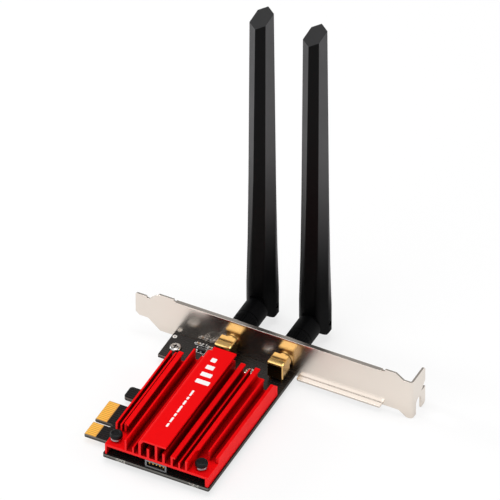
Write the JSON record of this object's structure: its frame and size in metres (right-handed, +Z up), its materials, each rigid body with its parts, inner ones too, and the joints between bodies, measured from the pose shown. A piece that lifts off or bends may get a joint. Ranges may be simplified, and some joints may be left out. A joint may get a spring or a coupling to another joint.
{
  "type": "wireless network card",
  "caption": "Expansion card with a gold edge, slot bracket, red finned heat sink and screw-on antennas that swivel and fold, for adding a radio link to a desktop computer.",
  "frame": {"origin": "centre of the key notch on the insertion edge of the gold tongue, half-way through the board's thickness", "axes": "+X across the board from the gold edge towards the bracket's screw tab; +Y along the board towards the bracket and antennas; +Z up from the component side"},
  "size_m": [0.12, 0.1076, 0.1594],
  "materials": {
    "board_mask": "black solder mask over glass-fibre board",
    "gold_plate": "polished gold plate",
    "bracket_plate": "bright nickel plate, mirror smooth",
    "screw_steel": "bright zinc plate",
    "red_anodise": "red anodised extrusion, satin",
    "pin_nylon": "moulded black nylon",
    "spring_steel": "bright wire",
    "pad_grey": "soft grey pad",
    "module_mask": "dark green solder mask",
    "shield_tin": "tinned sheet",
    "socket_plastic": "moulded black plastic",
    "header_plastic": "moulded grey plastic",
    "lead_jacket": "thin smooth jacket",
    "insulator_white": "white insulating plastic",
    "antenna_plastic": "satin black moulding",
    "ferrule_metal": "turned brass",
    "chip_ceramic": "small soldered chips",
    "radiator_metal": "copper alloy rod"
  },
  "bodies": {
    "card": {"circuit_board": "board_mask", "edge_contacts_top": "gold_plate", "edge_contacts_bottom": "gold_plate", "bracket": "bracket_plate", "bracket_screws": "screw_steel", "heat_sink": "red_anodise", "push_pins": "pin_nylon", "pin_springs": "spring_steel", "thermal_pad": "pad_grey", "module_board": "module_mask", "module_shield": "shield_tin", "module_socket": "socket_plastic", "module_standoff": "screw_steel", "module_screw": "screw_steel", "header_shell": "header_plastic", "header_pins": "gold_plate", "board_chips": "chip_ceramic", "left_lead_plugs": "gold_plate", "left_lead": "lead_jacket", "left_connector": "gold_plate", "left_connector_insulator": "insulator_white", "left_connector_pin": "gold_plate", "left_washer": "gold_plate", "left_nut": "gold_plate", "left_ferrule": "ferrule_metal", "left_antenna_collar": "antenna_plastic", "right_lead_plugs": "gold_plate", "right_lead": "lead_jacket", "right_connector": "gold_plate", "right_connector_insulator": "insulator_white", "right_connector_pin": "gold_plate", "right_washer": "gold_plate", "right_nut": "gold_plate", "right_ferrule": "ferrule_metal", "right_antenna_collar": "antenna_plastic"},
    "left_base": {"left_antenna_base": "antenna_plastic"},
    "left_blade": {"left_antenna_blade": "antenna_plastic", "left_hinge_pin": "antenna_plastic", "left_radiator": "radiator_metal"},
    "right_base": {"right_antenna_base": "antenna_plastic"},
    "right_blade": {"right_antenna_blade": "antenna_plastic", "right_hinge_pin": "antenna_plastic", "right_radiator": "radiator_metal"}
  },
  "joints": [
    {"name": "left_swivel", "type": "hinge", "parent": "card", "child": "left_base", "pos_m": [0.0295, 0.078, 0.0058], "axis": [0, -1, 0], "range_deg": [0, 180]},
    {"name": "left_tilt", "type": "hinge", "parent": "left_base", "child": "left_blade", "pos_m": [0.0295, 0.08646, 0.0058], "axis": [-1, 0, 0], "range_deg": [0, 90]},
    {"name": "right_swivel", "type": "hinge", "parent": "card", "child": "right_base", "pos_m": [0.0524, 0.078, 0.0058], "axis": [0, 1, 0], "range_deg": [0, 180]},
    {"name": "right_tilt", "type": "hinge", "parent": "right_base", "child": "right_blade", "pos_m": [0.0524, 0.08646, 0.0058], "axis": [-1, 0, 0], "range_deg": [0, 90]}
  ]
}
